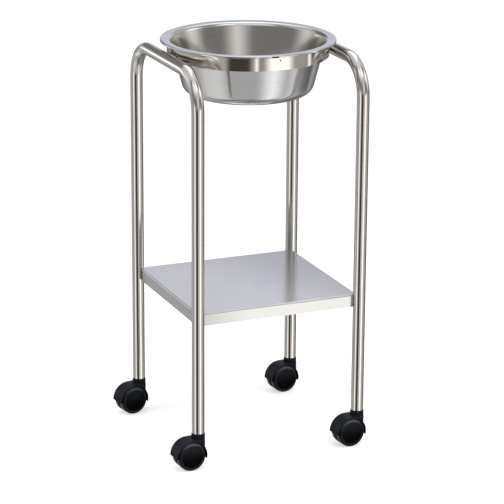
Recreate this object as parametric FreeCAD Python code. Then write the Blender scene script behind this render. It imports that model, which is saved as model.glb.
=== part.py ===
import FreeCAD, Part
import math
import os

# Wash basin stand: two bent tube frames, a band hoop that carries a loose basin, a folded shelf
# and four twin-wheel swivel casters. Millimetres, +Z up. +X is to the right of someone who faces
# the stand, +Y is away from them. The pieces are drawn round the axis of the basin. The finished
# model's origin is on the floor, under the middle of the overall outline with its casters at rest.

# Tube frames
tube_diameter = 25.4
tube_wall = 1.5
leg_spacing_x = 350.0          # between the leg axes, left to right
leg_spacing_y = 342.0          # between the leg axes, front to rear
frame_height = 811.0           # floor to the top of the bent bars
bend_radius = 72.0             # tube axis

# Hoop: a flat band rolled into a ring
hoop_height = 32.0
hoop_thickness = 2.0
hoop_edge_round = 0.4
hoop_drop = 3.0                # lower edge of the band below the axis of the top bars
hoop_hole_diameter = 4.0
hoop_hole_depth = 12.0         # hole axis below the top edge of the band

# Basin
basin_rim_diameter = 352.0
basin_rim_width = 15.5         # flat part and its outer edge
basin_depth = 111.0            # inside, from the rim
basin_sheet = 1.0
basin_edge_height = 4.5        # turned-down outer edge
basin_edge_bend = 1.0          # inside radius, where the rim turns down
basin_lip_bend = 5.0           # inside radius, where the rim turns into the wall
basin_wall_lean = 14.5         # degrees from upright
basin_floor_round = 26.0       # where the wall turns into the floor
basin_slot_length = 14.0       # small slot in the turned-down edge
basin_slot_height = 3.0
basin_slot_offset = 17.0       # to the left of the front centre

# Shelf
shelf_height = 319.5           # floor to the top face
shelf_flange = 25.4
shelf_sheet = 1.2
shelf_fold_bend = 1.8          # inside radius of the folds round the top
shelf_corner_bend = 0.8        # inside radius of the upright folds
shelf_inset_x = 1.0            # flange face inside the plane of the leg axes
shelf_inset_y = 5.0

# Welds
hoop_weld_length = 36.0
hoop_weld_radius = 4.0
shelf_weld_radius = 2.2
shelf_weld_margin = 3.0        # from the top and the lower edge of the flange

# Casters
wheel_diameter = 59.0
wheel_width = 15.8
wheel_spacing = 6.0            # between the inner faces of the two wheels
wheel_edge_round = 5.0
wheel_inner_round = 1.5
wheel_rim_wall = 4.5
wheel_web = 2.5
wheel_web_inset = 5.0          # web behind the inner face of the rim
hub_diameter = 14.0
hub_outer_recess = 5.2         # hub end below the outer face of the wheel
cover_diameter = 46.0
cover_thickness = 1.6
cover_recess = 0.9             # cover edge below the outer face of the wheel
cover_dome = 1.3
cover_seat = 1.5               # width of the shoulder under the cover
cover_clearance = 0.15
axle_diameter = 6.0
axle_overhang = 2.3            # past the hub, for the retaining ring
axle_groove_depth = 0.7
ring_thickness = 0.8
ring_diameter = 9.6
ring_gap_angle = 70.0          # opening of the retaining ring
ring_clearance = 0.2
caster_trail = 20.5            # stem axis to axle
hood_clearance = 1.7           # tread to the inside of the hood
hood_wall = 2.1
hood_width = 36.5
hood_rear_drop = 0.5           # rear edge below the axle
hood_front_drop = 6.5          # front edge below the axle
hood_edge_round = 1.9          # outer edges along the drum and the block in front of it
collar_diameter = 27.5
collar_round = 1.0
front_reach = 13.5             # stem axis to the upright front, round in plan
collar_recess_diameter = 19.0
collar_recess_depth = 3.0
caster_height = 71.5           # floor to the top of the collar
swivel_gap = 0.5               # collar to the socket flange
web_thickness = 4.0
hub_to_web_gap = 0.3
running_clearance = 0.05
fixed_clearance = 0.02

# Angle of each caster as it stands at rest, in degrees to the left round the stem
caster_turns = {
    "front_left": 4.0,
    "front_right": 5.0,
    "rear_left": 10.0,
    "rear_right": 6.0,
}

# Stem and its socket
stem_diameter = 11.0
stem_length = 40.0             # above the shoulder
stem_tip = 2.0
journal_diameter = 10.0
journal_length = 11.0
snap_groove_depth = 1.0
snap_groove_width = 2.5
snap_groove_from_end = 2.5
snap_rib_clearance = 0.2
shoulder_diameter = 17.0
shoulder_seat_gap = 0.1
socket_flange_thickness = 1.5
socket_length = 44.0
socket_tip_round = 1.0
grip_groove_depth = 1.2
grip_groove_width = 4.0
grip_groove_below_tip = 8.0
grip_ring_thickness = 1.5
grip_ring_play = 0.3           # each way along the stem
grip_ring_gap = 2.0

# Places worked out from the sizes
tube_radius = tube_diameter / 2
tube_bore_radius = tube_radius - tube_wall
leg_x = leg_spacing_x / 2
leg_y = leg_spacing_y / 2
bar_z = frame_height - tube_radius
tube_foot_z = caster_height + swivel_gap + socket_flange_thickness
hoop_radius = leg_x - tube_radius
hoop_bottom_z = bar_z - hoop_drop
hoop_top_z = hoop_bottom_z + hoop_height
rim_z = hoop_top_z + basin_sheet
wheel_radius = wheel_diameter / 2
wheel_inner_face = wheel_spacing / 2
wheel_outer_face = wheel_inner_face + wheel_width
hub_inner_face = web_thickness / 2 + hub_to_web_gap
hub_outer_face = wheel_outer_face - hub_outer_recess
hood_inner_radius = wheel_radius + hood_clearance
hood_radius = hood_inner_radius + hood_wall
recess_floor_z = caster_height - collar_recess_depth
shoulder_bottom_z = recess_floor_z + shoulder_seat_gap
shoulder_top_z = tube_foot_z - socket_flange_thickness
journal_end_z = shoulder_bottom_z - journal_length
stem_top_z = shoulder_top_z + stem_length
grip_groove_z = stem_top_z - grip_groove_below_tip - grip_groove_width
snap_groove_z = journal_end_z + snap_groove_from_end
cover_seat_face = wheel_outer_face - cover_recess - cover_thickness

cut_margin = 5.0               # how far a cutting tool runs past what it cuts
UP = FreeCAD.Vector(0, 0, 1)
ORIGIN = FreeCAD.Vector(0, 0, 0)

os.makedirs("parts", exist_ok=True)


def vec(x, y, z):
    return FreeCAD.Vector(x, y, z)


def save(name, shape):
    """Write one node, after making sure that it is sound."""
    if not shape.isValid() or not shape.Solids:
        raise ValueError("bad shape: " + name)
    shape.exportStep("parts/" + name + ".step")


def line(a, b):
    return Part.LineSegment(a, b).toShape()


def arc_xz(center_x, center_z, radius, start, end):
    """Arc in the XZ plane, angles in degrees from +X towards +Z."""
    def at(angle):
        turn = math.radians(angle)
        return vec(center_x + radius * math.cos(turn), 0, center_z + radius * math.sin(turn))
    return Part.Arc(at(start), at((start + end) / 2), at(end)).toShape()


def revolve_profile(points):
    """Solid of revolution round Z from a closed outline of (radius, height) points."""
    corners = [vec(r, 0, z) for r, z in points]
    face = Part.Face(Part.makePolygon(corners + corners[:1]))
    return face.revolve(ORIGIN, UP, 360)


def tube_solid(radius, path):
    """A round bar along a path that starts at the foot of a leg and runs upward."""
    start = path.Vertexes[0].Point
    circle = Part.Wire(Part.makeCircle(radius, start, UP))
    return path.makePipeShell([circle], True, False)


def frame_tube(side):
    """One inverted U: a front leg, a bent top bar and a rear leg, hollow."""
    x = side * leg_x
    straight_y = leg_y - bend_radius
    bend_z = bar_z - bend_radius
    reach = bend_radius * math.sqrt(0.5)
    path = Part.Wire([
        line(vec(x, -leg_y, tube_foot_z), vec(x, -leg_y, bend_z)),
        Part.Arc(vec(x, -leg_y, bend_z), vec(x, -straight_y - reach, bend_z + reach),
                 vec(x, -straight_y, bar_z)).toShape(),
        line(vec(x, -straight_y, bar_z), vec(x, straight_y, bar_z)),
        Part.Arc(vec(x, straight_y, bar_z), vec(x, straight_y + reach, bend_z + reach),
                 vec(x, leg_y, bend_z)).toShape(),
        line(vec(x, leg_y, bend_z), vec(x, leg_y, tube_foot_z)),
    ])
    return tube_solid(tube_radius, path).cut(tube_solid(tube_bore_radius, path))


def basin_hoop():
    """The band, its edges eased, with one small hole at the front."""
    ring = Part.makeCylinder(hoop_radius, hoop_height, vec(0, 0, hoop_bottom_z))
    ring = ring.cut(Part.makeCylinder(hoop_radius - hoop_thickness, hoop_height, vec(0, 0, hoop_bottom_z)))
    ring = ring.makeFillet(hoop_edge_round, [e for e in ring.Edges if isinstance(e.Curve, Part.Circle)])
    hole = Part.makeCylinder(hoop_hole_diameter / 2, hoop_thickness + 2 * cut_margin,
                             vec(0, -hoop_radius - cut_margin, hoop_top_z - hoop_hole_depth), vec(0, 1, 0))
    return ring.cut(hole)


def basin_skin(offset):
    """One skin of the basin, from the turned-down edge to the middle of the floor."""
    lean = math.radians(basin_wall_lean)
    edge_radius = basin_rim_diameter / 2 - offset
    edge_round = basin_edge_bend + basin_sheet - offset
    lip_x = basin_rim_diameter / 2 - basin_rim_width
    lip_z = rim_z - basin_lip_bend - basin_sheet
    lip_round = basin_lip_bend + basin_sheet - offset
    wall_top = vec(lip_x - lip_round * math.cos(lean), 0, lip_z + lip_round * math.sin(lean))
    floor_z = rim_z - basin_depth - offset
    floor_round = basin_floor_round + offset
    wall_end_z = floor_z + floor_round * (1 - math.sin(lean))
    wall_run = (wall_top.z - wall_end_z) / math.cos(lean)
    wall_end = vec(wall_top.x - wall_run * math.sin(lean), 0, wall_end_z)
    floor_x = wall_end.x - floor_round * math.cos(lean)
    return [
        line(vec(edge_radius, 0, rim_z - basin_edge_height),
             vec(edge_radius, 0, rim_z - offset - edge_round)),
        arc_xz(edge_radius - edge_round, rim_z - offset - edge_round, edge_round, 0, 90),
        line(vec(edge_radius - edge_round, 0, rim_z - offset), vec(lip_x, 0, rim_z - offset)),
        arc_xz(lip_x, lip_z, lip_round, 90, 180 - basin_wall_lean),
        line(wall_top, wall_end),
        arc_xz(floor_x, floor_z + floor_round, floor_round, -basin_wall_lean, -90),
        line(vec(floor_x, 0, floor_z), vec(0, 0, floor_z)),
    ]


def basin():
    """Drawn bowl with a flat rim, a rounded lip and a turned-down outer edge."""
    inner = basin_skin(0)
    outer = basin_skin(basin_sheet)
    edge_z = rim_z - basin_edge_height
    rim_radius = basin_rim_diameter / 2
    closing = [
        line(vec(0, 0, rim_z - basin_depth), vec(0, 0, rim_z - basin_depth - basin_sheet)),
        line(vec(rim_radius - basin_sheet, 0, edge_z), vec(rim_radius, 0, edge_z)),
    ]
    outline = Part.Wire(Part.__sortEdges__(inner + outer + closing))
    bowl = Part.Face(outline).revolve(ORIGIN, UP, 360)
    slot = Part.makeBox(basin_slot_length, basin_rim_width, basin_slot_height,
                        vec(-basin_slot_offset - basin_slot_length / 2, -rim_radius - cut_margin, edge_z))
    return bowl.cut(slot)


def shelf_prism(inset, bottom_z, top_z):
    """Rectangle with its corners cut at 45 degrees, tangent to the legs, every side moved in."""
    half_x = leg_x - shelf_inset_x - inset
    half_y = leg_y - shelf_inset_y - inset
    corner_sum = leg_x + leg_y - (tube_radius + inset) * math.sqrt(2)
    cut_y = corner_sum - half_x
    cut_x = corner_sum - half_y
    corners = [(half_x, cut_y), (cut_x, half_y), (-cut_x, half_y), (-half_x, cut_y),
               (-half_x, -cut_y), (-cut_x, -half_y), (cut_x, -half_y), (half_x, -cut_y)]
    points = [vec(x, y, bottom_z) for x, y in corners]
    face = Part.Face(Part.makePolygon(points + points[:1]))
    return face.extrude(vec(0, 0, top_z - bottom_z))


def eased_prism(inset, bottom_z, top_z):
    """The same prism with its upright edges and its top edge rounded."""
    prism = shelf_prism(inset, bottom_z, top_z)
    upright = [e for e in prism.Edges if abs(e.tangentAt(e.FirstParameter).z) > 0.5]
    prism = prism.makeFillet(shelf_corner_bend + shelf_sheet - inset, upright)
    top = [e for e in prism.Edges if min(v.Z for v in e.Vertexes) > top_z - 0.001]
    return prism.makeFillet(shelf_fold_bend + shelf_sheet - inset, top)


def shelf():
    """Folded tray: a flat top with a flange turned down on all eight sides."""
    bottom_z = shelf_height - shelf_flange
    outside = eased_prism(0, bottom_z, shelf_height)
    inside = eased_prism(shelf_sheet, bottom_z - cut_margin, shelf_height - shelf_sheet)
    return outside.cut(inside)


def shelf_welds():
    """Two upright beads where each cut corner of the shelf meets its leg."""
    bottom_z = shelf_height - shelf_flange + shelf_weld_margin
    length = shelf_flange - 2 * shelf_weld_margin
    gap = shelf_weld_radius / 2
    along = math.sqrt(tube_radius ** 2 - (tube_radius - gap) ** 2)
    filled = shelf_prism(0, bottom_z - cut_margin, shelf_height + cut_margin)
    beads = []
    for side_x in (-1, 1):
        for side_y in (-1, 1):
            leg = Part.makeCylinder(tube_radius, length + 2 * cut_margin,
                                    vec(side_x * leg_x, side_y * leg_y, bottom_z - cut_margin))
            for way in (-1, 1):
                depth = (tube_radius - gap / 2) * math.sqrt(0.5)
                slide = way * along * math.sqrt(0.5)
                x = side_x * (leg_x - depth + slide)
                y = side_y * (leg_y - depth - slide)
                bead = Part.makeCylinder(shelf_weld_radius, length, vec(x, y, bottom_z))
                beads.append(bead.cut(leg).cut(filled))
    return Part.makeCompound(beads)


def hoop_welds():
    """A bead in the groove between the band and the top bar, on each side."""
    disc = Part.makeCylinder(hoop_radius, hoop_height, vec(0, 0, hoop_bottom_z))
    center_x = leg_x - tube_radius + hoop_weld_radius / 4
    rise = math.sqrt(tube_radius ** 2 - (leg_x - center_x) ** 2)
    beads = []
    for side in (-1, 1):
        start = vec(side * center_x, -hoop_weld_length / 2, bar_z + rise)
        bead = Part.makeCylinder(hoop_weld_radius, hoop_weld_length, start, vec(0, 1, 0))
        bar = Part.makeCylinder(tube_radius, hoop_weld_length + 2 * cut_margin,
                                vec(side * leg_x, -hoop_weld_length / 2 - cut_margin, bar_z), vec(0, 1, 0))
        beads.append(bead.cut(bar).cut(disc))
    return Part.makeCompound(beads)


def socket():
    """Plastic sleeve in the foot of the tube, grooved inside for the grip ring."""
    sleeve_radius = tube_bore_radius - fixed_clearance
    bore = stem_diameter / 2 + fixed_clearance
    top_z = tube_foot_z + socket_length - socket_flange_thickness
    groove_top = grip_groove_z + grip_groove_width
    groove_radius = stem_diameter / 2 + grip_groove_depth
    flange_z = tube_foot_z - socket_flange_thickness
    return revolve_profile([
        (bore, flange_z), (tube_radius, flange_z), (tube_radius, tube_foot_z),
        (sleeve_radius, tube_foot_z), (sleeve_radius, top_z - socket_tip_round),
        (sleeve_radius - socket_tip_round, top_z), (bore, top_z),
        (bore, groove_top), (groove_radius, groove_top),
        (groove_radius, grip_groove_z), (bore, grip_groove_z),
    ])


def stem():
    """Turned steel stem: journal with a snap groove, shoulder, shank with a ring groove."""
    journal = journal_diameter / 2
    shank = stem_diameter / 2
    groove_top = grip_groove_z + grip_groove_width
    snap_top = snap_groove_z + snap_groove_width
    return revolve_profile([
        (0, journal_end_z), (journal - snap_groove_depth / 2, journal_end_z),
        (journal, journal_end_z + snap_groove_depth / 2),
        (journal, snap_groove_z), (journal - snap_groove_depth, snap_groove_z),
        (journal - snap_groove_depth, snap_top), (journal, snap_top),
        (journal, shoulder_bottom_z), (shoulder_diameter / 2, shoulder_bottom_z),
        (shoulder_diameter / 2, shoulder_top_z), (shank, shoulder_top_z),
        (shank, grip_groove_z), (shank - grip_groove_depth, grip_groove_z),
        (shank - grip_groove_depth, groove_top), (shank, groove_top),
        (shank, stem_top_z - stem_tip), (shank - stem_tip, stem_top_z), (0, stem_top_z),
    ])


def grip_ring():
    """Split spring ring in the groove of the stem, bearing in the groove of the socket."""
    bottom_z = grip_groove_z + grip_ring_play
    height = grip_groove_width - 2 * grip_ring_play
    inner = stem_diameter / 2 - grip_groove_depth + fixed_clearance
    outer = inner + grip_ring_thickness
    ring = Part.makeCylinder(outer, height, vec(0, 0, bottom_z))
    ring = ring.cut(Part.makeCylinder(inner, height, vec(0, 0, bottom_z)))
    return ring.cut(Part.makeBox(stem_diameter, grip_ring_gap, height, vec(0, -grip_ring_gap / 2, bottom_z)))


def about_axle(shape):
    """Take a shape made round Z, its outer side up, to the axle, its outer side to the front."""
    shape.rotate(ORIGIN, vec(1, 0, 0), 90)
    shape.translate(vec(-caster_trail, 0, wheel_radius))
    return shape


def hood():
    """Drum over both wheels, its rims eased, cut off level behind and in front."""
    drum = about_axle(Part.makeCylinder(hood_radius, hood_width, vec(0, 0, -hood_width / 2)))
    drum = drum.makeFillet(hood_edge_round, [e for e in drum.Edges if isinstance(e.Curve, Part.Circle)])
    reach = hood_radius + cut_margin
    for start_x, edge_z in ((-caster_trail - reach, wheel_radius - hood_rear_drop),
                            (-caster_trail, wheel_radius - hood_front_drop)):
        below = Part.makeBox(reach, hood_width, reach, vec(start_x, -hood_width / 2, edge_z - reach))
        drum = drum.cut(below)
    return drum


def front_block():
    """From the crest of the hood to the upright front: flat sides and top, round in plan."""
    half = hood_width / 2
    round_x = front_reach - half
    bottom_z = wheel_radius - hood_front_drop
    height = hood_radius + hood_front_drop
    block = Part.makeBox(caster_trail + round_x, hood_width, height, vec(-caster_trail, -half, bottom_z))
    block = block.fuse(Part.makeCylinder(half, height, vec(round_x, 0, bottom_z))).removeSplitter()
    crest_z = wheel_radius + hood_radius
    top = [e for e in block.Edges if min(v.Z for v in e.Vertexes) > crest_z - 0.001]
    rear = [e for e in top if max(v.X for v in e.Vertexes) < -caster_trail + 0.001]
    return block.makeFillet(hood_edge_round, [e for e in top if e not in rear])


def housing():
    """Moulded body: hood, front and collar in one, hollow but for a web between the wheels."""
    collar = Part.makeCylinder(collar_diameter / 2, caster_height - wheel_radius, vec(0, 0, wheel_radius))
    top_edge = [e for e in collar.Edges if min(v.Z for v in e.Vertexes) > caster_height - 0.001]
    collar = collar.makeFillet(collar_round, top_edge)
    body = hood().fuse(front_block()).fuse(collar)
    for side in (-1, 1):
        start = web_thickness / 2 if side > 0 else -web_thickness / 2 - hood_width
        well = Part.makeCylinder(hood_inner_radius, hood_width, vec(0, 0, start))
        body = body.cut(about_axle(well))
    hub = about_axle(Part.makeCylinder(hub_diameter / 2, web_thickness, vec(0, 0, -web_thickness / 2)))
    body = body.fuse(hub)
    bore_radius = axle_diameter / 2 + fixed_clearance
    body = body.cut(about_axle(Part.makeCylinder(bore_radius, hood_width, vec(0, 0, -hood_width / 2))))
    return body.cut(stem_bore()).removeSplitter()


def stem_bore():
    """The space for the stem: recess for its shoulder and a bore with a rib for its groove."""
    bore = journal_diameter / 2 + running_clearance
    rib_bottom = snap_groove_z + snap_rib_clearance
    rib_top = snap_groove_z + snap_groove_width - snap_rib_clearance
    rib = bore - snap_groove_depth + snap_rib_clearance
    floor_z = journal_end_z - snap_rib_clearance
    recess = collar_recess_diameter / 2
    top_z = caster_height + cut_margin
    return revolve_profile([
        (0, floor_z), (bore, floor_z), (bore, rib_bottom), (rib, rib_bottom), (rib, rib_top),
        (bore, rib_top), (bore, recess_floor_z), (recess, recess_floor_z), (recess, top_z), (0, top_z),
    ])


def axle():
    """Steel pin through the web, with a groove at each end for a retaining ring."""
    half = hub_outer_face + axle_overhang
    pin = Part.makeCylinder(axle_diameter / 2, 2 * half, vec(0, 0, -half))
    for side in (-1, 1):
        start = side * (hub_outer_face + ring_clearance) - (0 if side > 0 else ring_thickness)
        groove = Part.makeCylinder(axle_diameter, ring_thickness, vec(0, 0, start))
        core = Part.makeCylinder(axle_diameter / 2 - axle_groove_depth, ring_thickness, vec(0, 0, start))
        pin = pin.cut(groove.cut(core))
    return about_axle(pin)


def axle_rings():
    """Two open retaining rings that hold the wheels on the axle."""
    rings = []
    inner = axle_diameter / 2 - axle_groove_depth + fixed_clearance
    for side in (-1, 1):
        start = side * (hub_outer_face + ring_clearance) - (0 if side > 0 else ring_thickness)
        ring = Part.makeCylinder(ring_diameter / 2, ring_thickness, vec(0, 0, start), UP,
                                 360 - ring_gap_angle)
        ring = ring.cut(Part.makeCylinder(inner, ring_thickness, vec(0, 0, start)))
        rings.append(about_axle(ring))
    return Part.makeCompound(rings)


def wheel(side):
    """Moulded wheel: rounded tread, thin web, hub on the axle and a shoulder for the cover."""
    seat_radius = cover_diameter / 2 + cover_clearance
    rim_bore = seat_radius - cover_seat
    outer = wheel_radius
    web_face = wheel_inner_face + wheel_web_inset
    bore = axle_diameter / 2 + running_clearance
    hub = hub_diameter / 2
    inner_bore = outer - wheel_rim_wall
    profile = [
        line(vec(inner_bore, 0, wheel_inner_face), vec(outer - wheel_inner_round, 0, wheel_inner_face)),
        arc_xz(outer - wheel_inner_round, wheel_inner_face + wheel_inner_round, wheel_inner_round, -90, 0),
        line(vec(outer, 0, wheel_inner_face + wheel_inner_round),
             vec(outer, 0, wheel_outer_face - wheel_edge_round)),
        arc_xz(outer - wheel_edge_round, wheel_outer_face - wheel_edge_round, wheel_edge_round, 0, 90),
    ]
    corners = [
        (outer - wheel_edge_round, wheel_outer_face), (seat_radius, wheel_outer_face),
        (seat_radius, cover_seat_face), (rim_bore, cover_seat_face),
        (rim_bore, web_face + wheel_web), (hub, web_face + wheel_web),
        (hub, hub_outer_face), (bore, hub_outer_face), (bore, hub_inner_face),
        (hub, hub_inner_face), (hub, web_face), (inner_bore, web_face), (inner_bore, wheel_inner_face),
    ]
    for a, b in zip(corners, corners[1:]):
        profile.append(line(vec(a[0], 0, a[1]), vec(b[0], 0, b[1])))
    body = Part.Face(Part.Wire(profile)).revolve(ORIGIN, UP, 360)
    return on_side(body, side)


def wheel_cover(side):
    """Domed disc that closes the outer face of a wheel."""
    radius = cover_diameter / 2
    edge_top = cover_seat_face + cover_thickness
    crown = edge_top + cover_dome
    bulge = (radius ** 2 + cover_dome ** 2) / (2 * cover_dome)
    mid = vec(radius / 2, 0, crown - bulge + math.sqrt(bulge ** 2 - (radius / 2) ** 2))
    profile = Part.Wire([
        line(vec(0, 0, cover_seat_face), vec(radius, 0, cover_seat_face)),
        line(vec(radius, 0, cover_seat_face), vec(radius, 0, edge_top)),
        Part.Arc(vec(radius, 0, edge_top), mid, vec(0, 0, crown)).toShape(),
        line(vec(0, 0, crown), vec(0, 0, cover_seat_face)),
    ])
    body = Part.Face(profile).revolve(ORIGIN, UP, 360)
    return on_side(body, side)


def on_side(shape, side):
    """Put a wheel piece on the front (-1) or the rear (1) end of the axle."""
    if side > 0:
        shape.rotate(ORIGIN, vec(1, 0, 0), 180)
    return about_axle(shape)


def place_at_leg(shape, side_x, side_y, turn):
    """Turn a caster piece to its rest angle and take it from the origin to its leg."""
    shape.rotate(ORIGIN, UP, turn)
    shape.translate(vec(side_x * leg_x, side_y * leg_y, 0))
    return shape


def foot_pieces():
    """The ten pieces at the foot of one leg, made about the stem axis."""
    return {
        "tube_socket": socket(),
        "caster_stem": stem(),
        "stem_grip_ring": grip_ring(),
        "caster_housing": housing(),
        "wheel_axle": axle(),
        "axle_rings": axle_rings(),
        "front_wheel": wheel(-1),
        "front_wheel_cover": wheel_cover(-1),
        "rear_wheel": wheel(1),
        "rear_wheel_cover": wheel_cover(1),
    }


def all_pieces():
    """Every node of the stand, drawn round the axis of the basin."""
    pieces = {
        "left_frame_tube": frame_tube(-1),
        "right_frame_tube": frame_tube(1),
        "basin_hoop": basin_hoop(),
        "hoop_welds": hoop_welds(),
        "basin": basin(),
        "shelf": shelf(),
        "shelf_welds": shelf_welds(),
    }
    foot = foot_pieces()
    for leg_name, side_x, side_y in (("front_left", -1, -1), ("front_right", 1, -1),
                                     ("rear_left", -1, 1), ("rear_right", 1, 1)):
        for piece_name, shape in foot.items():
            placed = place_at_leg(shape.copy(), side_x, side_y, caster_turns[leg_name])
            pieces[leg_name + "_" + piece_name] = placed
    return pieces


def plan_middle(shapes):
    """Middle of the overall outline, seen from above."""
    outline = FreeCAD.BoundBox()
    for shape in shapes:
        outline.add(shape.optimalBoundingBox())
    return vec(outline.Center.x, outline.Center.y, 0)


stand = all_pieces()
to_origin = plan_middle(stand.values()).negative()
for name, shape in stand.items():
    shape.translate(to_origin)
    save(name, shape)
print("moved by", round(to_origin.x, 4), round(to_origin.y, 4))
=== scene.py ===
import math
import bmesh
import bpy
from mathutils import Matrix, Vector

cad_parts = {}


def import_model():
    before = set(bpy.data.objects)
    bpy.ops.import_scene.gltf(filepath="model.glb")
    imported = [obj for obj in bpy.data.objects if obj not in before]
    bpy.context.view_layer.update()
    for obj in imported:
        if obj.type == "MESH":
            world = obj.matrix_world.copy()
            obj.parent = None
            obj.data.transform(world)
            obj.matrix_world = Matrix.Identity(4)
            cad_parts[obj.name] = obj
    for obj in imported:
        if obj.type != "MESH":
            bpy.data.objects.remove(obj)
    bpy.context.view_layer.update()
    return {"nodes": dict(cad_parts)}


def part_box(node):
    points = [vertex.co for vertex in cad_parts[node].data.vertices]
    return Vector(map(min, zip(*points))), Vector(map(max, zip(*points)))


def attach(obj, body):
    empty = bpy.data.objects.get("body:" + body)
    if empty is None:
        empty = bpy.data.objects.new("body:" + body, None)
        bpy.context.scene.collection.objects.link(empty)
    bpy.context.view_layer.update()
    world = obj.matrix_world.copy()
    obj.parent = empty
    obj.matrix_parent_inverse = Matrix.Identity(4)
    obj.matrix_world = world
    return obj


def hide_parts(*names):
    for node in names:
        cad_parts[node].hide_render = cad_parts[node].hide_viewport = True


# Wash basin stand: materials, the basin's spun sheet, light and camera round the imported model.
# Metres, +Z up, origin on the floor, -Y to the front.

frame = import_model()
nodes = frame["nodes"]
scene = bpy.context.scene

# Camera: where it looks, from how far, and its angles in radians
AIM_RIGHT = 0.01137              # right of the basin's axis
AIM_HEIGHT = 0.3796
DISTANCE = 4.8
AZIMUTH = 0.3994                 # to the left of the stand's front
ELEVATION = 0.3004
ROLL = 0.0065
LENS_PX = 2339.9                 # focal length, in pixels of a picture FRAME_PX wide
FRAME_PX = 504.0
SENSOR = 36.0                    # millimetres
NEAREST = 0.1
FARTHEST = 50.0

# Sizes that the materials need: two as the tube is bent, the rest from the model's own boxes
TUBE_RADIUS = 0.0127
BEND_RADIUS = 0.072
tube_low, tube_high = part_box("left_frame_tube")
basin_low, basin_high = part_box("basin")
MIDDLE_X = (basin_low.x + basin_high.x) / 2
MIDDLE_Y = (basin_low.y + basin_high.y) / 2
BEND_Z = tube_high.z - TUBE_RADIUS - BEND_RADIUS
STRAIGHT_Y = (tube_high.y - tube_low.y) / 2 - TUBE_RADIUS - BEND_RADIUS

# Noise scales along X, Y and Z: small along the brushing, large across it
TUBE_STREAKS = (260.0, 260.0, 3.0)
TUBE_GRAIN = (900.0, 900.0, 40.0)
SHELF_GRAIN = (6.0, 900.0, 900.0)
RING_TURN = 0.8                  # the same round the basin's axis, per radian

# Basin: a spun sheet with a rounder edge and lip than the plain model's
RIM_RADIUS = (basin_high.x - basin_low.x) / 2
SHEET = 0.001
EDGE_DROP = 0.0045               # turned-down edge, below the rim
EDGE_BREAK = 0.0034              # where its upper part starts
EDGE_ROUND = 0.0024
RIM_DISH = 0.0009                # how far the rim falls from its edge to the lip
RIM_SLOPE = 5.0                  # degrees, where the rim leaves the edge and meets the lip
LIP_ROUND = 0.0095
WALL_LEAN = math.radians(14.5)
WALL_RADIUS = 0.154691           # where the wall is WALL_DROP below the rim
WALL_DROP = 0.004498
FLOOR_ROUND = 0.026
BOWL_DEPTH = 0.111
FLOOR_RINGS = (0.75, 0.5, 0.2)   # parts of the flat floor's radius
EDGE_STEPS = 8
RIM_STEPS = 4
LIP_STEPS = 14
WALL_STEPS = 8
FLOOR_STEPS = 14
TURNS = 384                      # faces round the axis
LIP_ROW = 24                     # a row of faces on the lip, which faces up
SLOT_OFFSET = 0.017              # to the left of the front
SLOT_LENGTH = 0.014
SLOT_ROWS = 4                    # rows of faces with the slot's painted shade, from the lower edge

# Floor
FLOOR_SIZE = 12.0
FLOOR_TONE = 0.62
FLOOR_GLOW = 0.52                # brings the floor up to the white behind it

# Lamps
LAMP_AIM = 0.45                  # height that they are aimed at
LAMP_DISTANCE = 2.2
AMBIENT = 0.8                    # what matt faces get from the world


class Graph:
    """Short calls for building a node tree."""

    def __init__(self, tree):
        self.tree = tree
        self.tree.nodes.clear()

    def node(self, kind, inputs=(), **settings):
        made = self.tree.nodes.new(kind)
        for key, value in settings.items():
            setattr(made, key, value)
        for key, value in dict(inputs).items():
            self.put(made.inputs[key], value)
        return made

    def put(self, socket, value):
        if isinstance(value, bpy.types.NodeSocket):
            self.tree.links.new(value, socket)
        else:
            socket.default_value = value

    def math(self, operation, a, b=0.0, c=0.0):
        return self.node("ShaderNodeMath", {0: a, 1: b, 2: c}, operation=operation).outputs[0]

    def add(self, a, b):
        return self.math("ADD", a, b)

    def minus(self, a, b):
        return self.math("SUBTRACT", a, b)

    def times(self, a, b):
        return self.math("MULTIPLY", a, b)

    def vector(self, x, y, z):
        return self.node("ShaderNodeCombineXYZ", {0: x, 1: y, 2: z}).outputs[0]

    def split(self, vector):
        return self.node("ShaderNodeSeparateXYZ", {0: vector}).outputs

    def stretch(self, vector, factors):
        """The vector with each of its three parts multiplied by its own factor."""
        return self.node("ShaderNodeVectorMath", {0: vector, 1: factors},
                         operation="MULTIPLY").outputs[0]

    def noise(self, vector, scale, detail):
        return self.node("ShaderNodeTexNoise", {"Vector": vector, "Scale": scale,
                                                "Detail": detail, "Roughness": 0.55}).outputs[0]

    def remap(self, value, low, high, to_low, to_high, smooth=False):
        made = self.node("ShaderNodeMapRange", {0: value, 1: low, 2: high, 3: to_low, 4: to_high})
        made.interpolation_type = "SMOOTHSTEP" if smooth else "LINEAR"
        return made.outputs[0]

    def vary(self, noise, to_low, to_high, half=0.2):
        """Spread a noise, most of which lies within half of 0.5, over a range."""
        return self.remap(noise, 0.5 - half, 0.5 + half, to_low, to_high)

    def mix(self, factor, a, b):
        made = self.node("ShaderNodeMix", data_type="RGBA")
        self.put(made.inputs[0], factor)
        self.put(made.inputs[6], a)
        self.put(made.inputs[7], b)
        return made.outputs[2]

    def dulled(self, noise, tone, factor):
        """The tone, darker by the factor where the noise is low."""
        return self.mix(self.vary(noise, 0.0, 1.0), self.stretch(tone, (factor,) * 3), tone)

    def bump(self, height, distance, strength):
        return self.node("ShaderNodeBump", {"Height": height, "Distance": distance,
                                            "Strength": strength}).outputs[0]


def rgb(r, g, b):
    return (r, g, b, 1.0)


def grey(level):
    return rgb(level, level, level)


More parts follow.
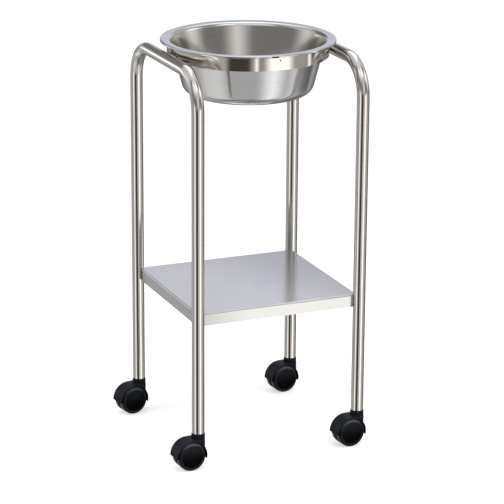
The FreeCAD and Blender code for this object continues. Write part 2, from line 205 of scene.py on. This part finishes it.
def material(name, **constants):
    """A material with one Principled shader, its constants set on its own sockets."""
    made = bpy.data.materials.new(name)
    made.use_nodes = True
    graph = Graph(made.node_tree)
    shader = graph.node("ShaderNodeBsdfPrincipled")
    for key, value in constants.items():
        shader.inputs[key.replace("_", " ")].default_value = value
    out = graph.node("ShaderNodeOutputMaterial")
    graph.put(out.inputs[0], shader.outputs[0])
    return made, graph, shader


def steel_tube():
    """Satin steel, brushed along the tube: up the legs, round the bends and across the bar."""
    made, g, s = material("brushed_tube", Metallic=1.0, Anisotropic=0.3)
    place = g.node("ShaderNodeNewGeometry").outputs["Position"]
    x, y, z = g.split(place)
    from_middle = g.minus(y, MIDDLE_Y)
    past_straight = g.minus(g.math("ABSOLUTE", from_middle), STRAIGHT_Y)
    past_straight = g.math("MAXIMUM", past_straight, 0.0)
    above_leg = g.math("MAXIMUM", g.minus(z, BEND_Z), 0.0)
    inward = g.times(g.times(above_leg, g.math("SIGN", from_middle)), -1.0)
    along = g.node("ShaderNodeVectorMath", {0: g.vector(0.0, inward, past_straight)},
                   operation="NORMALIZE").outputs[0]
    g.put(s.inputs["Tangent"], along)
    # Long faint streaks along the tube and a fine grain
    streaks = g.noise(g.stretch(place, TUBE_STREAKS), 1.0, 2.0)
    patches = g.noise(place, 14.0, 2.0)
    tone = g.mix(g.vary(streaks, 0.0, 1.0), rgb(0.65, 0.625, 0.595), rgb(0.665, 0.64, 0.612))
    g.put(s.inputs["Base Color"], tone)
    rough = g.add(g.vary(streaks, 0.115, 0.125, half=0.25), g.vary(patches, -0.008, 0.008))
    g.put(s.inputs["Roughness"], rough)
    fine = g.noise(g.stretch(place, TUBE_GRAIN), 1.0, 2.0)
    g.put(s.inputs["Normal"], g.bump(fine, 0.000002, 0.1))
    return made


def round_steel(name, tone_in_painted_shade, tone_out, tone_top_painted_reflection, rough_in, rough_out, ring_scale, ring_depth):
    """Steel spun or rolled round the basin's axis; it differs inside, outside and on top: painted
    shade inside, a painted cool reflection tint on top.
    """
    made, g, s = material(name, Metallic=1.0)
    geometry = g.node("ShaderNodeNewGeometry")
    place = geometry.outputs["Position"]
    x, y, z = g.split(place)
    normal_x, normal_y, normal_z = g.split(geometry.outputs["Normal"])
    dx = g.minus(x, MIDDLE_X)
    dy = g.minus(y, MIDDLE_Y)
    radius = g.math("SQRT", g.add(g.times(dx, dx), g.times(dy, dy)))
    angle = g.math("ARCTAN2", dy, dx)
    outward = g.add(g.times(normal_x, g.math("DIVIDE", dx, radius)),
                    g.times(normal_y, g.math("DIVIDE", dy, radius)))
    # Rings: fine along the wall and very long round the axis
    rings = g.noise(g.vector(g.times(radius, ring_scale), g.times(z, ring_scale),
                             g.times(angle, RING_TURN)), 1.0, 3.0)
    patches = g.noise(place, 11.0, 2.0)
    # Painted shade: faces that point inward take a darker, warmer tone.
    outer = g.remap(outward, -0.05, 0.35, 0.0, 1.0, smooth=True)
    tone = g.mix(outer, rgb(*tone_in_painted_shade), rgb(*tone_out))
    # Painted reflection: faces that point up take a cooler tint.
    tone = g.mix(g.remap(normal_z, 0.4, 0.9, 0.0, 1.0), tone, rgb(*tone_top_painted_reflection))
    g.put(s.inputs["Base Color"], g.dulled(rings, tone, 0.94))
    rough = g.add(g.remap(outer, 0.0, 1.0, rough_in, rough_out),
                  g.add(g.vary(rings, -0.008, 0.01, half=0.25), g.vary(patches, -0.008, 0.008)))
    g.put(s.inputs["Roughness"], rough)
    g.put(s.inputs["Normal"], g.bump(rings, ring_depth, 0.5))
    return made


def shelf_steel():
    """Sheet brushed from left to right, with painted shade and light: darker to the right and rear,
    brighter at its front.
    """
    made, g, s = material("shelf_sheet", Metallic=0.82, Anisotropic=0.3)
    geometry = g.node("ShaderNodeNewGeometry")
    place = geometry.outputs["Position"]
    x, y, z = g.split(place)
    grain = g.noise(g.stretch(place, SHELF_GRAIN), 1.0, 3.0)
    patches = g.noise(place, 9.0, 2.0)
    # Painted shade: the top darkens toward the right and rear, the flanges toward the left.
    across = g.add(g.minus(x, MIDDLE_X), g.times(g.minus(y, MIDDLE_Y), 0.45))
    top = g.mix(g.remap(across, -0.08, 0.24, 0.0, 1.0, smooth=True),
                rgb(0.68, 0.68, 0.694), rgb(0.44, 0.44, 0.449))
    flange = g.mix(g.remap(x, -0.17, -0.03, 0.0, 1.0, smooth=True),
                   rgb(0.44, 0.437, 0.43), rgb(0.62, 0.617, 0.61))
    # Painted reflection tint: the top is cool, the flanges warmer.
    facing_up = g.split(geometry.outputs["Normal"])[2]
    tone = g.mix(g.remap(facing_up, 0.3, 0.7, 1.0, 0.0), top, flange)
    g.put(s.inputs["Base Color"], g.dulled(grain, tone, 0.95))
    rough = g.add(g.vary(grain, 0.16, 0.20, half=0.25), g.vary(patches, -0.01, 0.02))
    g.put(s.inputs["Roughness"], rough)
    g.put(s.inputs["Tangent"], (0.0, 1.0, 0.0))
    g.put(s.inputs["Normal"], g.bump(grain, 0.00001, 0.3))
    return made


def weld_steel():
    """Dressed weld: lumpy, dull and darker than the sheet."""
    made, g, s = material("weld_bead", Metallic=1.0)
    place = g.node("ShaderNodeNewGeometry").outputs["Position"]
    lumps = g.noise(place, 420.0, 3.0)
    tone = g.mix(lumps, rgb(0.30, 0.285, 0.27), rgb(0.52, 0.50, 0.48))
    g.put(s.inputs["Base Color"], tone)
    g.put(s.inputs["Roughness"], g.vary(lumps, 0.28, 0.45))
    g.put(s.inputs["Normal"], g.bump(lumps, 0.0004, 0.6))
    return made


def plated_steel():
    """Zinc-plated steel, for the stems, axles and rings."""
    made, g, s = material("plated_steel", Metallic=1.0)
    place = g.node("ShaderNodeNewGeometry").outputs["Position"]
    lumps = g.noise(place, 260.0, 2.0)
    tone = g.mix(lumps, rgb(0.48, 0.48, 0.47), rgb(0.60, 0.60, 0.58))
    g.put(s.inputs["Base Color"], tone)
    g.put(s.inputs["Roughness"], g.vary(lumps, 0.22, 0.36))
    return made


def plastic(name, colour, lit_tone, rough, specular, lit_from, lit_to):
    """Moulded nylon with painted light from above: lighter where it faces up and toward its top,
    between two heights.
    """
    made, g, s = material(name, Specular_IOR_Level=specular)
    geometry = g.node("ShaderNodeNewGeometry")
    place = geometry.outputs["Position"]
    fine = g.noise(place, 2600.0, 2.0)
    patches = g.noise(place, 60.0, 2.0)
    normal_z = g.split(geometry.outputs["Normal"])[2]
    # Painted light and sheen: faces that point up, and the parts higher up, are lighter.
    facing_up = g.remap(normal_z, 0.0, 0.9, 0.0, 0.6, smooth=True)
    upper = g.remap(g.split(place)[2], lit_from, lit_to, 0.0, 0.7, smooth=True)
    painted_light = g.times(g.add(facing_up, upper), g.vary(patches, 0.8, 1.0))
    tone = g.mix(g.math("MINIMUM", painted_light, 1.0), rgb(*colour), rgb(*lit_tone))
    g.put(s.inputs["Base Color"], tone)
    g.put(s.inputs["Roughness"], g.add(g.vary(patches, *rough), g.vary(fine, -0.02, 0.02)))
    g.put(s.inputs["Normal"], g.bump(fine, 0.00003, 0.6))
    return made


def slot_shade():
    """Painted shade: the dark of the slot in the basin's edge, on faces that are not cut away."""
    made, g, s = material("slot_shade", Specular_IOR_Level=0.05)
    specks = g.noise(g.node("ShaderNodeNewGeometry").outputs["Position"], 900.0, 2.0)
    g.put(s.inputs["Base Color"], g.mix(specks, grey(0.001), grey(0.003)))
    g.put(s.inputs["Roughness"], g.vary(specks, 0.6, 0.8))
    return made


tube = steel_tube()
# Hoop and basin: the inward tone is painted shade, the top tone a painted reflection tint.
hoop = round_steel(
    "polished_hoop", tone_in_painted_shade=(0.68, 0.66, 0.63), tone_out=(0.73, 0.695, 0.65),
    tone_top_painted_reflection=(0.66, 0.65, 0.64), rough_in=0.12, rough_out=0.10,
    ring_scale=500.0, ring_depth=0.000002)
bowl = round_steel(
    "satin_basin", tone_in_painted_shade=(0.59, 0.565, 0.53), tone_out=(0.645, 0.64, 0.635),
    tone_top_painted_reflection=(0.55, 0.555, 0.59), rough_in=0.16, rough_out=0.12,
    ring_scale=700.0, ring_depth=0.000003)
sheet = shelf_steel()
weld = weld_steel()
plated = plated_steel()
housing = plastic(
    "hood_plastic", colour=(0.002, 0.0023, 0.003), lit_tone=(0.013, 0.015, 0.0195),
    rough=(0.34, 0.40), specular=0.05, lit_from=0.012, lit_to=0.050)
# On the wheels the lighter tone is a painted sheen along their top edges.
tread = plastic(
    "wheel_plastic", colour=(0.002, 0.0023, 0.003), lit_tone=(0.085, 0.092, 0.108),
    rough=(0.24, 0.30), specular=0.17, lit_from=0.046, lit_to=0.060)
cover = plastic(
    "cover_plastic", colour=(0.001, 0.0011, 0.0014), lit_tone=(0.024, 0.026, 0.032),
    rough=(0.30, 0.36), specular=0.02, lit_from=0.018, lit_to=0.056)
sleeve = plastic(
    "socket_plastic", colour=(0.0008, 0.0009, 0.0011), lit_tone=(0.002, 0.0022, 0.0028),
    rough=(0.42, 0.48), specular=0.05, lit_from=0.06, lit_to=0.08)

# Each material, and how the names of the nodes that have it end
LOOKS = [
    (tube, ("frame_tube",)),
    (hoop, ("basin_hoop",)),
    (weld, ("welds",)),
    (sheet, ("shelf",)),
    (bowl, ("basin",)),
    (sleeve, ("tube_socket",)),
    (plated, ("caster_stem", "stem_grip_ring", "wheel_axle", "axle_rings")),
    (housing, ("caster_housing",)),
    (cover, ("wheel_cover",)),
    (tread, ("_wheel",)),
]


def dress(name, made):
    """Give a node of the model its material."""
    slots = nodes[name].data.materials
    if len(slots) == 0:
        slots.append(made)
    for index in range(len(slots)):
        slots[index] = made


for node_name in nodes:
    for look, endings in LOOKS:
        if node_name.endswith(endings):
            dress(node_name, look)


def arc(center_r, center_z, radius, start, end, steps):
    """Points of an arc, its angles in degrees from straight outward toward up."""
    points = []
    for step in range(steps + 1):
        angle = math.radians(start + (end - start) * step / steps)
        points.append((center_r + radius * math.cos(angle), center_z + radius * math.sin(angle)))
    return points


def between(start, end, steps):
    """The points that divide the straight run between two points into equal steps."""
    return [(start[0] + (end[0] - start[0]) * step / steps,
             start[1] + (end[1] - start[1]) * step / steps) for step in range(1, steps)]


def basin_outline():
    """Upper skin from the turned-down edge to the floor: radius, and height from the rim."""
    lean = math.degrees(WALL_LEAN)
    slope = math.tan(WALL_LEAN)
    lip_z = -RIM_DISH - LIP_ROUND
    lip_end_z = lip_z + LIP_ROUND * math.sin(WALL_LEAN)
    lip_r = WALL_RADIUS + LIP_ROUND * math.cos(WALL_LEAN) + slope * (lip_end_z + WALL_DROP)
    wall_end_z = -BOWL_DEPTH + FLOOR_ROUND * (1 - math.sin(WALL_LEAN))
    wall_end_r = WALL_RADIUS + slope * (wall_end_z + WALL_DROP)
    floor_r = wall_end_r - FLOOR_ROUND * math.cos(WALL_LEAN)
    points = [(RIM_RADIUS, -EDGE_DROP), (RIM_RADIUS, -EDGE_BREAK)]
    points += arc(RIM_RADIUS - EDGE_ROUND, -EDGE_ROUND, EDGE_ROUND, 0, 90 + RIM_SLOPE, EDGE_STEPS)
    lip = arc(lip_r, lip_z, LIP_ROUND, 90 - RIM_SLOPE, 180 - lean, LIP_STEPS)
    points += between(points[-1], lip[0], RIM_STEPS)
    points += lip
    points += between(lip[-1], (wall_end_r, wall_end_z), WALL_STEPS)
    points += arc(floor_r, -BOWL_DEPTH + FLOOR_ROUND, FLOOR_ROUND, -lean, -90, FLOOR_STEPS)
    points += [(floor_r * part, -BOWL_DEPTH) for part in FLOOR_RINGS]
    return points


def spun_basin():
    """The outline turned round the basin's axis, with the thickness of the sheet below it."""
    mesh = bmesh.new()
    rings = []
    for radius, height in basin_outline():
        ring = []
        for turn in range(TURNS):
            angle = math.tau * turn / TURNS
            x = MIDDLE_X + radius * math.cos(angle)
            y = MIDDLE_Y + radius * math.sin(angle)
            ring.append(mesh.verts.new((x, y, basin_high.z + height)))
        rings.append(ring)
    slot_angle = math.radians(-90) - SLOT_OFFSET / RIM_RADIUS
    for row, (ring, inner) in enumerate(zip(rings, rings[1:])):
        for turn in range(TURNS):
            after = (turn + 1) % TURNS
            face = mesh.faces.new((ring[turn], ring[after], inner[after], inner[turn]))
            from_slot = math.tau * (turn + 0.5) / TURNS - slot_angle
            from_slot = (from_slot + math.pi) % math.tau - math.pi
            # Painted shade: the slot's faces stay and take the dark material.
            if row < SLOT_ROWS and abs(from_slot) * RIM_RADIUS < SLOT_LENGTH / 2:
                face.material_index = 1
    middle = mesh.verts.new((MIDDLE_X, MIDDLE_Y, basin_high.z - BOWL_DEPTH))
    for turn in range(TURNS):
        mesh.faces.new((rings[-1][turn], rings[-1][(turn + 1) % TURNS], middle))
    for face in mesh.faces:
        face.smooth = True
    bmesh.ops.recalc_face_normals(mesh, faces=mesh.faces)
    data = bpy.data.meshes.new("basin_bowl")
    mesh.to_mesh(data)
    mesh.free()
    if data.polygons[TURNS * LIP_ROW].normal.z < 0:
        data.flip_normals()
    data.materials.append(bowl)
    data.materials.append(slot_shade())
    piece = bpy.data.objects.new("basin_bowl", data)
    scene.collection.objects.link(piece)
    skin = piece.modifiers.new("sheet", "SOLIDIFY")
    skin.thickness = SHEET
    skin.offset = -1.0
    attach(piece, "basin")
    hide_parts("basin")


spun_basin()


def floor_material():
    """Pale and matt; the camera sees it lit up to white, apart from the stand's shadows."""
    made = bpy.data.materials.new("pale_floor")
    made.use_nodes = True
    g = Graph(made.node_tree)
    matt = g.node("ShaderNodeBsdfDiffuse", {"Color": grey(FLOOR_TONE)}).outputs[0]
    glow = g.node("ShaderNodeEmission", {"Color": grey(1.0), "Strength": FLOOR_GLOW}).outputs[0]
    seen = g.node("ShaderNodeAddShader", {0: matt, 1: glow}).outputs[0]
    to_camera = g.node("ShaderNodeLightPath").outputs["Is Camera Ray"]
    mixed = g.node("ShaderNodeMixShader", {0: to_camera, 1: matt, 2: seen}).outputs[0]
    out = g.node("ShaderNodeOutputMaterial")
    g.put(out.inputs[0], mixed)
    return made


bpy.ops.mesh.primitive_plane_add(size=FLOOR_SIZE, location=(0.0, 0.0, 0.0))
floor = bpy.context.object
floor.name = "floor"
floor.visible_glossy = False
floor.data.materials.append(floor_material())


# What metal mirrors: a backdrop, as the grey at heights in degrees, and cards in front of it.
# Azimuths are degrees from the camera's side, positive to its right.
BACKDROP = [
    (-90.0, 0.15),
    (-68.0, 0.30),
    (-50.0, 0.58),
    (-24.0, 0.52),
    (0.0, 0.50),
    (24.0, 0.46),
    (42.0, 0.34),
    (62.0, 0.62),
    (90.0, 1.00),
]
# Cards: azimuth, half width, soft edge, bottom, top, soft edge, colour
CARDS = [
    # Below the horizon: what the legs, the hoop and the shelf's flanges mirror
    (-95.0, 34.0, 12.0, -30.0, 0.0, 6.0, grey(0.45)),
    (-134.0, 16.0, 8.0, -30.0, -2.0, 6.0, rgb(0.62, 0.63, 0.65)),
    (104.0, 30.0, 8.0, -30.0, 0.0, 6.0, grey(0.11)),
    (-53.0, 9.0, 4.0, -30.0, 0.0, 6.0, grey(1.50)),
    (80.0, 12.0, 6.0, -30.0, 0.0, 6.0, grey(0.42)),
    (97.0, 3.0, 3.0, -30.0, 0.0, 6.0, grey(1.40)),
    (46.0, 17.0, 8.0, -30.0, 0.0, 6.0, rgb(1.60, 1.58, 1.52)),
    (-12.0, 17.0, 5.0, -30.0, 1.0, 5.0, rgb(0.062, 0.055, 0.048)),
    (17.0, 6.0, 4.0, -30.0, 0.0, 5.0, grey(0.34)),
    (12.5, 2.0, 2.0, -30.0, 0.0, 5.0, grey(1.50)),
    (-147.0, 9.0, 6.0, -14.0, -3.0, 4.0, grey(0.22)),
    (-129.0, 8.0, 5.0, -7.0, 6.0, 4.0, grey(1.90)),
    (-127.0, 9.0, 6.0, -42.0, -28.0, 5.0, grey(1.30)),
    (180.0, 34.0, 10.0, -34.0, -4.0, 5.0, grey(0.20)),
    # Lower still: what the outside of the basin mirrors
    (-66.0, 24.0, 12.0, -60.0, -30.0, 8.0, grey(0.90)),
    (48.0, 14.0, 22.0, -60.0, -30.0, 8.0, grey(1.45)),
    (88.0, 8.0, 8.0, -60.0, -30.0, 8.0, grey(0.95)),
    (160.0, 40.0, 14.0, -60.0, -30.0, 8.0, grey(0.22)),
    # Above the horizon, on the near side: what the inside of the basin and the bends mirror
    (0.0, 116.0, 14.0, 4.0, 27.0, 6.0, grey(0.26)),
    (-102.0, 15.0, 15.0, 5.0, 30.0, 6.0, grey(1.10)),
    (17.0, 12.0, 16.0, 5.0, 30.0, 6.0, grey(1.10)),
    (97.0, 13.0, 15.0, 5.0, 30.0, 6.0, grey(1.25)),
    (98.0, 12.0, 8.0, 20.0, 36.0, 6.0, grey(2.20)),
    (-62.0, 12.0, 8.0, 30.0, 60.0, 8.0, grey(0.22)),
    (84.0, 22.0, 10.0, 40.0, 62.0, 8.0, grey(0.26)),
    (-14.0, 34.0, 8.0, 42.0, 64.0, 6.0, grey(1.30)),
    (46.0, 18.0, 8.0, 48.0, 70.0, 6.0, grey(2.00)),
    # The far side: what the shelf, the rim, the top bars and the folds mirror
    (171.0, 20.0, 6.0, 4.0, 22.0, 4.0, rgb(0.80, 0.80, 0.90)),
    (-152.0, 22.0, 7.0, 12.0, 34.0, 5.0, grey(0.22)),
    (180.0, 16.0, 6.0, 24.0, 33.0, 4.0, grey(0.20)),
    (180.0, 24.0, 8.0, 38.0, 90.0, 5.0, rgb(2.40, 2.40, 2.45)),
]


def world(backdrop, cards):
    """White to the camera, even light for matt faces, and the backdrop with its cards for metal."""
    made = bpy.data.worlds.new("studio")
    scene.world = made
    made.use_nodes = True
    g = Graph(made.node_tree)
    x, y, z = g.split(g.node("ShaderNodeTexCoord").outputs["Generated"])
    turned = g.math("ARCTAN2", x, g.times(y, -1.0))
    azimuth = g.add(g.times(turned, 180.0 / math.pi), math.degrees(AZIMUTH))
    height = g.times(g.math("ARCSINE", z), 180.0 / math.pi)
    ramp = g.node("ShaderNodeValToRGB", {0: g.remap(height, -90.0, 90.0, 0.0, 1.0)})
    stops = ramp.color_ramp.elements
    for index, (level_height, level) in enumerate(backdrop):
        stop = stops[index] if index < 2 else stops.new(0.5)
        stop.position = (level_height + 90.0) / 180.0
        stop.color = grey(level)
    studio = ramp.outputs[0]
    for center, half, soft, bottom, top, edge, colour in cards:
        away = g.math("ABSOLUTE", g.math("WRAP", g.minus(azimuth, center), 180.0, -180.0))
        across = g.remap(away, half - soft, half + soft, 1.0, 0.0, smooth=True)
        over = g.remap(height, bottom - edge, bottom + edge, 0.0, 1.0, smooth=True)
        under = g.remap(height, top - edge, top + edge, 1.0, 0.0, smooth=True)
        studio = g.mix(g.times(across, g.times(over, under)), studio, colour)
    path = g.node("ShaderNodeLightPath")
    mirrored = g.mix(path.outputs["Is Glossy Ray"], grey(AMBIENT), studio)
    seen = g.mix(path.outputs["Is Camera Ray"], mirrored, grey(1.0))
    background = g.node("ShaderNodeBackground", {"Color": seen, "Strength": 1.0})
    out = g.node("ShaderNodeOutputWorld")
    g.put(out.inputs[0], background.outputs[0])


world(BACKDROP, CARDS)

# Lamps: name, azimuth from the camera's side and elevation in degrees, size, power in watts
LAMPS = [
    ("fill_left", -70.0, 35.0, 1.2, 13.0),
    ("key_right", 62.0, 42.0, 0.9, 15.0),
    ("top", 0.0, 80.0, 1.4, 24.0),
]


def panel(name, azimuth, elevation, size, power):
    """A square soft box aimed at the middle of the stand, which metal doesn't mirror."""
    lamp = bpy.data.lights.new(name, "AREA")
    lamp.shape = "RECTANGLE"
    lamp.size = size
    lamp.size_y = size
    lamp.energy = power
    made = bpy.data.objects.new(name, lamp)
    scene.collection.objects.link(made)
    turn = math.radians(azimuth) - AZIMUTH
    rise = math.radians(elevation)
    away = Vector((math.sin(turn) * math.cos(rise), -math.cos(turn) * math.cos(rise),
                   math.sin(rise)))
    made.location = Vector((MIDDLE_X, MIDDLE_Y, LAMP_AIM)) + away * LAMP_DISTANCE
    made.rotation_euler = (-away).to_track_quat("-Z", "Y").to_euler()
    made.visible_camera = False
    made.visible_glossy = False


for lamp_row in LAMPS:
    panel(*lamp_row)

# Camera
camera_data = bpy.data.cameras.new("camera")
camera = bpy.data.objects.new("camera", camera_data)
scene.collection.objects.link(camera)
scene.camera = camera
camera_data.sensor_width = SENSOR
camera_data.lens = LENS_PX / FRAME_PX * SENSOR
camera_data.clip_start = NEAREST
camera_data.clip_end = FARTHEST
look = Vector((math.sin(AZIMUTH) * math.cos(ELEVATION), math.cos(AZIMUTH) * math.cos(ELEVATION),
               -math.sin(ELEVATION)))
right = Vector((math.cos(AZIMUTH), -math.sin(AZIMUTH), 0.0))
up = right.cross(look)
tilted_right = right * math.cos(ROLL) + up * math.sin(ROLL)
tilted_up = up * math.cos(ROLL) - right * math.sin(ROLL)
attitude = Matrix((tilted_right, tilted_up, -look)).transposed().to_4x4()
aim = Vector((MIDDLE_X + AIM_RIGHT, MIDDLE_Y, AIM_HEIGHT))
camera.matrix_world = Matrix.Translation(aim - look * DISTANCE) @ attitude

scene.view_settings.view_transform = "Standard"
